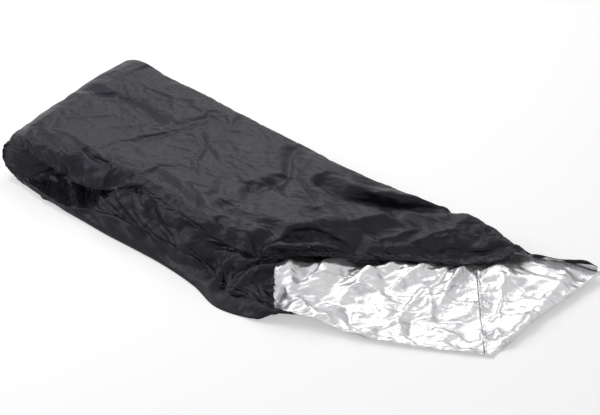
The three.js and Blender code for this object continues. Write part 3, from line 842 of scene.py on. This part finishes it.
def top_sheet(upper, lower):
    """The long strip: round the closed end and over the top to the gathered mouth hem."""
    columns = upper.shape[1]
    lower_end = smooth(lower[0], np.linspace(0, lower.shape[1] - 1, columns))
    reach = np.linspace(NOSE_REACH_NEAR, NOSE_REACH_FAR, columns)[None, :]
    nose = bend(upper[0][None], lower_end[None], reach, NOSE_ROWS)
    strip = np.concatenate([nose[:0:-1], upper])

    from_near = run_length(strip, 1)
    from_far = run_length(strip, 1, back=True)
    from_hem = run_length(strip, 0, back=True)
    along = run_length(strip, 0)
    row = np.arange(strip.shape[0])[:, None]
    on_top = np.clip((row - NOSE_ROWS * 0.6) / (NOSE_ROWS * 0.4), 0, 1)
    upper_rows = row > NOSE_ROWS
    x, y = strip[..., 0], strip[..., 1]

    folds = creases(strip, TOP_CREASES, 3) * on_top
    # Long soft waves, and crinkles that grow towards the near slope and the mouth.
    calm = (1 - np.exp(-from_near / 10)) * below(x, 82, 8)
    rough = 0.2 + 0.9 * np.exp(-from_near / 9) + 0.8 * above(x - 0.2 * y, 104, 6)
    lift = folds * (1 - 0.5 * calm) + 0.1 * noise(along / 16, from_near / 7, 11)
    lift += 0.12 * rough * crinkle(along / 2.2, from_near, 5.5, 12)
    # Puffs where the strip is eased on to the near panel round the closed end.
    closed = np.exp(-np.maximum(x - 38, 0) / 5)
    lift += 2.2 * closed * np.exp(-from_near / 3.6) * (ridges(along / 4.2, from_near / 5, 14) - 0.75)
    # The cloth bulges over the hem, and turns down steeply to it, in two places.
    over_hem = 1.7 * window(from_near, 3, 22, 1.5) + 1.3 * window(from_near, 47, 64, 2)
    steep = above(from_hem, HEM_BAND + 1.6, 0.6)
    sinking = np.exp(-np.maximum(from_hem - HEM_BAND - 1.5, 0) / 5)
    lift += over_hem * steep * sinking * upper_rows
    strip = raised(strip, lift, 1)
    hold = edge_hold(strip.shape[:2], 0.01, {
        "first": (4, 1), "left": (3, 1), "right": (3, 1), "last": (6, 0.25),
    })
    hold += 0.12 * calm + 0.08 * below(from_hem, 5, 1)
    strip = settle(place(strip), np.minimum(hold, 1), grow=0.012, bending=0.5, frames=16)

    # What the stiff coating keeps sharp: creases, gathers along the seams, the hem.
    sharp = 0.8 * folds * (1 - 0.3 * calm) + 0.05 * rough * crinkle(along / 1.4, from_near, 2.4, 17)
    sharp += (0.9 * rough - 0.1) * facets(along, from_near, 9, 61)
    # The stitches draw the cloth in along the top of the hem band.
    drawn_in = bell(from_hem - HEM_BAND - 0.7, 1.5) * window(from_near, 3, 72, 1.5)
    sharp -= 0.45 * drawn_in * upper_rows
    sharp += 0.55 * closed * np.exp(-from_near / 1.7) * (ridges(along / 1.4, from_near / 4, 18) - 0.7)
    puckers = np.exp(-from_near / 1.2) + np.exp(-from_far / 1.2)
    sharp += 0.16 * puckers * (ridges(along / 2.4, from_near / 6, 15) - 0.7)
    sharp += hem_relief(from_hem, from_near, 16) * upper_rows
    ease = np.clip(np.minimum(from_near, from_far) / 0.4, 0, 1)
    strip = raised(strip, sharp * ease)
    turned_down = np.clip(1 - from_hem / HEM_BAND, 0, 1) ** 1.4 * upper_rows
    strip[..., 2] -= 0.2 * turned_down * UNIT * window(from_near, 4, 70, 2)
    return above_floor(strip)


def mouth_layer(lower):
    """The piece beyond the double-stitched seam: one row for each rail of the lower layer."""
    rails = [smooth([row[k] for row in MOUTH_SECTIONS], spans(UNDER_COLUMNS)) for k in range(3)]
    grid = smooth(np.stack([lower[-1], *rails]), spans(MOUTH_COLUMNS))
    grid[..., 2] = np.maximum(grid[..., 2], 0)
    return grid


# The lower layer stands up in a mound below the mouth hem: path in plan, height at shares
# of the path, and how far it reaches in front of the path and behind it.
MOUND_PATH = [
    (103.6, -46), (107.6, -42.2), (110.4, -39), (114.8, -35), (119.4, -29.8), (125, -24.8),
    (131.2, -19), (137.8, -13.4), (146, -5.2), (152, 1.2), (158, 9),
]
MOUND_HEIGHTS = (
    [0, 0.08, 0.13, 0.22, 0.3, 0.42, 0.52, 0.63, 0.78, 0.9, 1],
    [5.6, 6.5, 5.8, 5.6, 4.6, 3.9, 3.7, 3.3, 3.2, 3.7, 2.6],
)
MOUND_FRONT, MOUND_BACK = 8, 4


def floor_sheets(lower):
    """The lower layer and the mouth panel beyond it, creased as one cloth."""
    mouth = mouth_layer(lower)
    grid = np.concatenate([lower, mouth[1:]])
    form = grid.copy()
    seam_row = len(lower) - 1
    from_near = run_length(grid, 1)
    along = run_length(grid, 0)
    x = grid[..., 0]
    open_part = above(x, 100, 3)
    from_seam = along - along[seam_row]

    away, share = along_path(grid, MOUND_PATH)
    mound = np.interp(share, *MOUND_HEIGHTS)
    mound = mound * bell(away, np.where(away < 0, MOUND_FRONT, MOUND_BACK))
    mound *= 1 - np.exp(-from_near / 4)
    folds = creases(grid, SILVER_CREASES, 5) * open_part
    # Long folds across the cloth, between the creases.
    across = open_part * facets(x + 0.33 * grid[..., 1], from_near / 5, 7, 29, 1)
    lift = folds + 0.12 * open_part * crinkle(along / 1.6, from_near, 6, 21) + 0.8 * across
    near_band = np.exp(-from_near / 3)
    lift += 0.3 * near_band * open_part * (ridges(along / 4, from_near / 5, 22) - 0.7)
    # The near edge stands off the floor where it is slack, and a little further out.
    stand = window(x, 109, 132, 2.4) * bell(from_near, 4)
    lift += 3.2 * stand
    lift += 0.7 * window(x, 133, 172, 2) * bell(from_near, 1.6) * ridges(along / 7, 0, 27)
    # So does the hem of the mouth.
    from_end = run_length(grid, 0, back=True)
    slack = bell(from_end, 2.2) * window(from_near, 8, 60, 3)
    lift += 1.9 * slack * (0.4 + 0.6 * ridges(from_near / 9, 3, 28))
    # The fold at the foot of the turned-up side lies tight on the floor.
    from_foot = np.abs(from_near - from_near[:, UNDER_COLUMNS[0]][:, None])
    loose = 1 - bell(from_foot, 2.5) * below(x, 111, 1.2)
    lift += 0.1 * bell(from_seam, 2) * (ridges(from_near / 2, along / 3, 23) - 0.5)
    grid[..., 0] += 0.9 * stand + 0.9 * slack
    grid[..., 1] -= stand
    grid[..., 2] += mound + (0.25 * open_part + lift) * loose
    hold = edge_hold(grid.shape[:2], 0.012, {"left": (2, 0.4), "right": (3, 1), "last": (3, 0.4)})
    # What lies flat under the upper layer keeps its place.
    hold[:sum(UNDER_ROWS[:UNSEEN_SPANS])] = 1
    hold = np.maximum(hold, 0.9 * window(x, -50, 107, 1.5))
    grid = settle(place(grid), hold, grow=0.007, bending=0.6, frames=16)

    # Sharp relief: creases, the rolled near hem, the double-stitched seam, pleats of the side.
    sharp = 0.8 * folds + 0.5 * across + 0.03 * open_part * crinkle(along / 1.2, from_near, 2.6, 24)
    sharp += 0.75 * open_part * facets(along, from_near, 11, 62)
    sharp += 0.25 * open_part * facets(along, from_near, 4, 63)
    free_edge = window(x, 128, 180, 2)
    sharp += 0.2 * below(from_near, ROLLED_HEM, 0.08) * free_edge
    sharp -= 0.12 * bell(from_near - ROLLED_HEM, 0.2) * free_edge
    sharp += 0.14 * bell(from_seam, 0.55) - 0.3 * bell(from_seam, 0.12)
    turned_up = (1 - open_part) * bell(from_near, 4.5)
    slant = along + 0.8 * from_near
    sharp -= 0.7 * turned_up * (ridges(slant / 3.4, from_near / 6, 25) - 0.75)
    sharp -= 2.2 * turned_up * facets(along, from_near, 9, 66)
    sharp -= 0.35 * turned_up * (ridges(slant / 1.3, from_near / 3, 26) - 0.7)
    near_side = np.exp(-((from_near / 7) ** 4))
    sharp -= (1 - open_part) * side_creases(form[..., 0], form[..., 2]) * near_side
    ease = np.clip(from_near / 0.4, 0, 1) * loose
    grid = above_floor(raised(grid, sharp * ease))
    return grid[:seam_row + 1], grid[seam_row:]


def near_panel(strip, lower):
    """The near side panel, sunk between the layers, from the closed end to the mouth."""
    stations = spans(NEAR_ROWS)
    upper_edge = strip[NOSE_ROWS:, 0]
    top_line = between(upper_edge, spans(TOP_ROWS), stations)
    low_line = between(lower[:, 0], spans(UNDER_ROWS), stations)
    angle = np.linspace(0, math.pi, NEAR_COLUMNS + 1)
    swell = np.sin(angle)[None, :]
    share = ((1 - np.cos(angle)) / 2)[None, :, None]
    grid = top_line[:, None] * (1 - share) + low_line[:, None] * share
    recess = np.interp(stations, range(len(NEAR_RECESS)), NEAR_RECESS)[:, None]
    pleats = sum(depth * bell(stations - at, width) for at, depth, width in NEAR_PLEATS)
    follow = NOSE_REACH_NEAR * np.maximum(0, NOSE_FOLLOW - stations)[:, None] ** 2
    grid[..., 0] -= follow * swell * UNIT
    grid[..., 1] += (recess * swell**RECESS_FULLNESS - pleats[:, None] * swell) * UNIT
    nose_edge = strip[NOSE_ROWS::-1, 0]
    grid[0] = smooth(nose_edge, np.linspace(0, len(nose_edge) - 1, NEAR_COLUMNS + 1))

    down = run_length(grid, 1) / UNIT
    up = run_length(grid, 1, back=True) / UNIT
    along = run_length(grid, 0) / UNIT
    to_mouth = run_length(grid, 0, back=True) / UNIT
    deep = below(stations, 4, 0.4)[:, None]
    # Long streaks in the deep recess, crumples by the mouth, and gathers along both seams.
    lift = 0.6 * deep * swell * (ridges(along / 18, down / 2.6 + along / 40, 34) - 0.7)
    lift += (0.2 - 0.1 * deep) * crinkle(along / 1.6 + down / 2, down, 7, 31) * swell
    lift += (1.1 - 0.8 * deep) * facets(along, down, 13, 65) * swell
    lift += 0.6 * np.exp(-to_mouth / 9) * crinkle(along, down, 6, 33) * swell
    folds = side_creases(along_cover(grid), (grid[..., 2] - CAD_LOW.z) / UNIT)
    lift -= 0.6 * folds * swell
    at_seams = np.exp(-down / 2.5) + np.exp(-up / 2.5)
    lift += 0.6 * at_seams * (ridges(along / 2.6, down / 7, 32) - 0.7)
    grid = raised(grid, lift * np.minimum(swell * 3, 1))
    hold = edge_hold(grid.shape[:2], 0.01, {
        "first": (2, 1), "left": (2, 1), "right": (2, 1), "last": (3, 0.2),
    })
    grid = settle(grid, hold, grow=0.012, bending=0.5, frames=14)
    grid[..., 0] += 1.1 * np.exp(-to_mouth / 2.5) * noise(down / 2, 0 * down, 38) * swell * UNIT
    sharp = 0.3 * np.exp(-down / 1.4) * (ridges(along / 1.1, down / 4, 35) - 0.7)
    sharp += 0.3 * np.exp(-up / 1.4) * (ridges(along / 1.1, up / 4, 36) - 0.7)
    sharp += 0.05 * crinkle(along, down, 2.6, 37) + 0.5 * folds
    sharp += (1.6 - 1.35 * deep) * facets(along, down, 8, 64)
    return above_floor(raised(grid, -sharp * np.clip(np.minimum(down, up) / 0.4, 0, 1)))


def far_panel(strip, lower, mouth):
    """The far side panel; beyond the upper layer it stands up as a free hem."""
    hem = place(smooth(FAR_HEM, spans([14] * (len(FAR_HEM) - 1))))
    upper_edge = strip[NOSE_ROWS:, -1]
    hem = hem + (upper_edge[-1] - hem[0]) * np.linspace(1, 0, len(hem))[:, None] ** 2
    top_line = np.concatenate([upper_edge, hem[1:]])
    foot_line = np.concatenate([lower[:, -1], mouth[1:, -1]])
    foot = between(foot_line, foot_line[:, 0], top_line[:, 0])
    height = (top_line[:, 2] - foot[:, 2]) / UNIT
    sunk = FAR_RECESS * np.minimum(1, (height / FAR_HEIGHT) ** 2)[:, None]
    down = np.linspace(0, 1, FAR_COLUMNS + 1)
    grid = top_line[:, None] * (1 - down[None, :, None]) + foot[:, None] * down[None, :, None]
    grid[..., 1] -= sunk * np.sin(math.pi * down)[None, :] * UNIT
    nose_edge = strip[NOSE_ROWS::-1, -1]
    grid[0] = smooth(nose_edge, np.linspace(0, len(nose_edge) - 1, FAR_COLUMNS + 1))
    run, fall = run_length(grid, 0) / UNIT, run_length(grid, 1) / UNIT
    swell = np.sin(math.pi * down)[None, :] * np.minimum(1, run / 4)
    swell = swell * np.minimum(1, height / 4)[:, None]
    lift = 0.25 * crinkle(run / 2, fall, 5, 71) + 0.6 * facets(run, fall, 9, 72)
    grid = raised(grid, lift * swell)

    # The free hem is rolled over inwards, so that its black outside shows in two places.
    x = along_cover(top_line)
    free = above(x, 158, 0.3)
    shown = window(x, 157, 160.4, 0.3) + window(x, 166, 171.6, 0.4)
    roll = 0.03 + free * (0.03 + 0.36 * shown)
    turns = np.linspace(1, 0, HEM_ROLL_COLUMNS + 1)[:-1]
    angle = math.pi * np.minimum(turns * 2, 1)[None, :]
    over = np.maximum(turns * 2 - 1, 0)[None, :]
    rolled = np.repeat(top_line[:, None], len(turns), axis=1)
    rolled[..., 1] -= roll[:, None] * (1 - np.cos(angle)) * UNIT
    rolled[..., 2] += roll[:, None] * (np.sin(angle) - 1.6 * over) * UNIT
    return np.concatenate([rolled, grid], axis=1)


def line_length(line):
    """How far each point of a line lies from its first point."""
    return np.append(0, np.cumsum(np.linalg.norm(np.diff(line, axis=0), axis=1)))


def distance_row(grid, row, offset):
    """Points of a grid in metres at a distance beyond one of its rows, and the normals there."""
    run = run_length(grid, 0)
    normal = normals_of(grid)
    places = range(len(grid))
    points = np.empty_like(grid[0])
    facing = np.empty_like(grid[0])
    for k in range(grid.shape[1]):
        at = np.interp(run[row, k] + offset, run[:, k], places)
        points[k] = between(grid[:, k], places, at)
        facing[k] = between(normal[:, k], places, at)
    return points, facing


def stitches(name, rows, material):
    """One piece with rows of stitches. Each row is a line of points and the normals there."""
    points = []
    faces = []
    for line, facing in rows:
        run = line_length(line)
        starts = np.arange(STITCH_STEP, run[-1] - STITCH_STEP, STITCH_STEP)
        ends = starts + STITCH_LENGTH
        start, end = between(line, run, starts), between(line, run, ends)
        up = between(facing, run, (starts + ends) / 2)
        up /= np.linalg.norm(up, axis=1, keepdims=True)
        side = np.cross(end - start, up)
        side *= THREAD / np.linalg.norm(side, axis=1, keepdims=True)
        middle = (start + end) / 2 + up * CLOTH / 2
        corners = [start, end, middle + side, middle - side, middle + up * THREAD, middle - up * THREAD]
        first = sum(len(block) for block in points)
        points.append(np.stack(corners, 1).reshape(-1, 3))
        for number in range(len(starts)):
            a, b, left, right, top, foot = (first + number * 6 + k for k in range(6))
            for one, other in ((left, top), (top, right), (right, foot), (foot, left)):
                faces.append((one, other, a))
                faces.append((other, one, b))
    return small_piece(name, np.concatenate(points), faces, material)


def seam_edge(name, line, material):
    """The turned edge of a seam: a thin round roll of cloth along a line of points."""
    ahead = np.gradient(line, axis=0)
    ahead /= np.linalg.norm(ahead, axis=1, keepdims=True)
    side = np.cross(ahead, (0, 0, 1))
    side /= np.maximum(np.linalg.norm(side, axis=1, keepdims=True), 1e-9)
    up = np.cross(side, ahead)
    angle = (np.arange(SEAM_SIDES) * 2 * math.pi / SEAM_SIDES)[None, :, None]
    ring = side[:, None] * np.cos(angle) + up[:, None] * np.sin(angle)
    run = line_length(line)
    width = SEAM_RADIUS * (1 + SEAM_UNEVEN * noise(run / SEAM_WAVE, 0 * run, 41))
    points = line[:, None] + ring * width[:, None, None]
    ids = np.arange(len(line) * SEAM_SIDES).reshape(-1, SEAM_SIDES)
    turned = np.roll(ids, -1, axis=1)
    around = np.stack([ids[1:], turned[1:], turned[:-1], ids[:-1]], -1).reshape(-1, 4)
    faces = [*around.tolist(), ids[0].tolist(), ids[-1, ::-1].tolist()]
    return small_piece(name, points.reshape(-1, 3), faces, material)


def small_piece(name, points, faces, material):
    """A piece from points and faces, which rides on the cover."""
    mesh = bpy.data.meshes.new(name)
    mesh.from_pydata(points.tolist(), [], faces)
    mesh.polygons.foreach_set("use_smooth", np.ones(len(faces), bool))
    mesh.update()
    mesh.materials.append(material)
    piece = add_object(name, mesh)
    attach(piece, "root")
    return piece


def allowance_squares(grid, part, until=None):
    """The squares of a grid that show the black seam allowance: one column in so many, beside
    its first edge and its last. With until, they lie beside the first edge only, and no
    further along the cover than that place."""
    columns = grid.shape[1] - 1
    beside = np.zeros((grid.shape[0] - 1, columns), bool)
    beside[:, :columns // part] = True
    if until is not None:
        return beside & (along_cover(grid[:-1, :-1]) < until)
    beside[:, -columns // part:] = True
    return beside


def make_cover(black, silver):
    lower_form = under_layer()
    strip = top_sheet(top_layer(), lower_form)
    lower, mouth = floor_sheets(lower_form)
    near = near_panel(strip, lower)
    far = far_panel(strip, lower, mouth)
    # Where the insides are black: along the seams, and where the mouth hem is turned in.
    turned_in = run_length(strip, 0, back=True)[:-1, :-1] < HEM_TURNED_IN * UNIT
    strip_black = allowance_squares(strip, 12) | turned_in
    lower_black = allowance_squares(lower, 8, NEAR_SEAM_HIDDEN)
    near_black = allowance_squares(near, 3)
    pieces = {
        "top_strip": cloth_mesh("top_cloth", strip, allowance=strip_black),
        "under_strip": cloth_mesh("under_cloth", lower, allowance=lower_black, outside=1),
        "mouth_panel": cloth_mesh("mouth_cloth", mouth),
        "near_side_panel": cloth_mesh("near_panel_cloth", near, flip=True, allowance=near_black),
        "far_side_panel": cloth_mesh("far_panel_cloth", far),
    }
    for node, piece in pieces.items():
        order = [silver, black] if node in ("under_strip", "mouth_panel") else [black, silver]
        for material in order:
            piece.data.materials.append(material)
        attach(piece, "root")
        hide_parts(node)
    sewing = {
        "mouth_panel": [stitches("mouth_stitches", [
            distance_row(mouth, 0, offset) for offset in STITCH_ROWS
        ], thread())],
        "top_strip": [stitches("hem_stitches", [
            distance_row(strip, len(strip) - 1, -HEM_BAND * UNIT),
        ], thread())],
        "near_side_panel": [
            seam_edge("near_upper_seam", near[:, 0], black),
            seam_edge("near_lower_seam", near[:, -1], black),
        ],
        "far_side_panel": [
            seam_edge("far_upper_seam", strip[NOSE_ROWS:, -1], black),
            seam_edge("far_lower_seam", far[:, -1], black),
        ],
    }


# ---- The stage ---------------------------------------------------------------------------

FLOOR_HALF = 12
FLOOR_GREY = 0.66
# The floor and the room are brighter where they are seen than where they only light.
FLOOR_GLOW = 0.47
ROOM_DIM, ROOM_SEEN = 0.3, 1

# Soft boxes: place from the middle of the cover, power in watts, and width. They stand
# behind and above it, high on its left, in front on the left, and on the right.
LAMPS = {
    "back_light": (Vector((-1.0, 1.8, 3.2)), 32, 2.0),
    "low_back_light": (Vector((-2.2, 2.4, 2.4)), 16, 1.0),
    "left_light": (Vector((-2.0, -0.3, 3.3)), 30, 0.9),
    "front_light": (Vector((-2.4, -2.0, 1.8)), 30, 0.9),
    "right_light": (Vector((3.2, -1.4, 2.0)), 8, 0.9),
}

# The camera: its direction and distance from what it looks at, and its lens in millimetres.
CAMERA_AZIMUTH, CAMERA_ELEVATION = math.radians(42), math.radians(36)
CAMERA_DISTANCE = 5.72
CAMERA_TARGET = Vector((0.0174, 0.1002, 0))
CAMERA_LENS, CAMERA_SENSOR = 108, 36


def seen_ray(tree):
    """One for the rays that see the white room: from the camera, or by reflection or glass."""
    path = tree.nodes.new("ShaderNodeLightPath")
    total = 0
    for name in ("Is Camera Ray", "Is Glossy Ray", "Is Transmission Ray"):
        total = Wire(tree, path.outputs[name]) + total
    return total.clamped()


def make_floor():
    mesh = bpy.data.meshes.new("floor")
    r = FLOOR_HALF
    mesh.from_pydata([(-r, -r, 0), (r, -r, 0), (r, r, 0), (-r, r, 0)], [], [(0, 1, 2, 3)])
    floor = add_object("floor", mesh)
    material, tree, shader = new_material("floor")
    shader.inputs["Base Color"].default_value = (FLOOR_GREY, FLOOR_GREY, FLOOR_GREY, 1)
    shader.inputs["Roughness"].default_value = 0.9
    shader.inputs["Specular IOR Level"].default_value = 0
    plain = Wire(tree, shader.outputs[0])
    emission = add_node(tree, "ShaderNodeEmission", Strength=FLOOR_GLOW)
    glowing = add_node(tree, "ShaderNodeAddShader", _0=plain, _1=emission)
    total = add_node(tree, "ShaderNodeMixShader", Fac=seen_ray(tree), _1=plain, _2=glowing)
    tree.links.new(total.socket, tree.nodes["Material Output"].inputs["Surface"])
    mesh.materials.append(material)


def make_lights():
    world = bpy.data.worlds.new("world")
    bpy.context.scene.world = world
    world.use_nodes = True
    tree = world.node_tree
    tree.nodes.remove(tree.nodes["Background"])
    dim = add_node(tree, "ShaderNodeBackground", Color=(1, 1, 1, 1), Strength=ROOM_DIM)
    white = add_node(tree, "ShaderNodeBackground", Color=(1, 1, 1, 1), Strength=ROOM_SEEN)
    shown = add_node(tree, "ShaderNodeMixShader", Fac=seen_ray(tree), _1=dim, _2=white)
    tree.links.new(shown.socket, tree.nodes["World Output"].inputs["Surface"])

    centre = (CAD_LOW + CAD_HIGH) / 2
    for name, (offset, power, size) in LAMPS.items():
        lamp = bpy.data.lights.new(name, "AREA")
        lamp.energy = power
        lamp.size = size
        light = add_object(name, lamp)
        light.location = centre + offset
        light.rotation_euler = (-offset).to_track_quat("-Z", "Y").to_euler()


def make_camera():
    back = Vector((
        math.sin(CAMERA_AZIMUTH) * math.cos(CAMERA_ELEVATION),
        -math.cos(CAMERA_AZIMUTH) * math.cos(CAMERA_ELEVATION),
        math.sin(CAMERA_ELEVATION),
    ))
    data = bpy.data.cameras.new("camera")
    data.lens = CAMERA_LENS
    data.sensor_width = CAMERA_SENSOR
    camera = add_object("camera", data)
    camera.location = CAMERA_TARGET + back * CAMERA_DISTANCE
    camera.rotation_euler = back.to_track_quat("Z", "Y").to_euler()
    bpy.context.scene.camera = camera


bpy.context.scene.view_settings.view_transform = "Standard"
make_camera()
make_cover(black_cloth(), silver_cloth())
make_floor()
make_lights()
